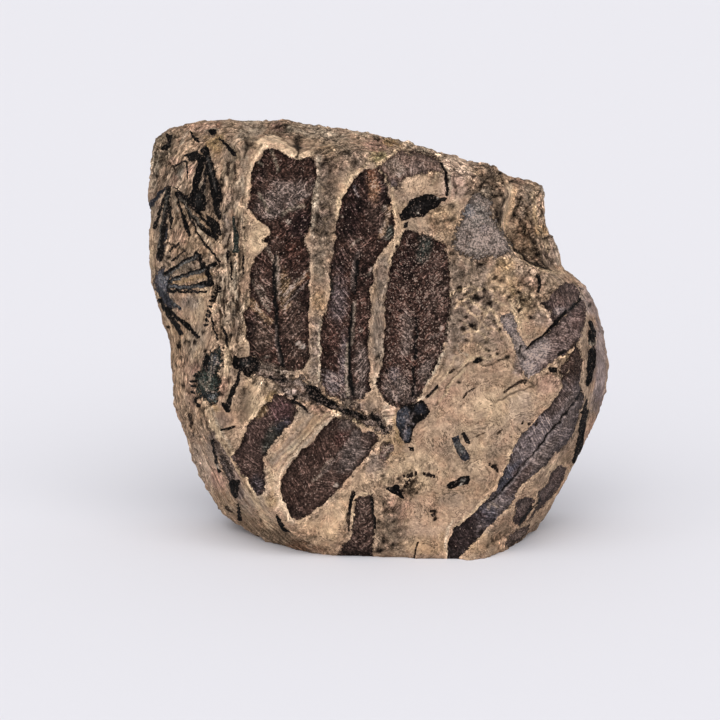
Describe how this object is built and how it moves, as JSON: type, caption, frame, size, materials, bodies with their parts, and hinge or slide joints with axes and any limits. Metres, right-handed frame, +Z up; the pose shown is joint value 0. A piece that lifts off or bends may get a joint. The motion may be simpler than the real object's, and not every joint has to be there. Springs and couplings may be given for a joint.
{
  "type": "fossil fern plate",
  "caption": "Upright block of tan mudstone split along a bedding plane, its flat face crowded with dark carbonised fern leaflets, leaf whorls and a broken stem.",
  "frame": {"origin": "on the surface the plate stands on, under the middle of its box", "axes": "+X along the plate's width, to the right as the leaves are seen; +Y away from the split face, to the back; +Z up"},
  "size_m": [0.1606, 0.0724, 0.14],
  "materials": {
    "stone": "matt split mudstone with dark carbon films"
  },
  "bodies": {
    "root": {"fossil_plate": "stone"}
  },
  "joints": []
}
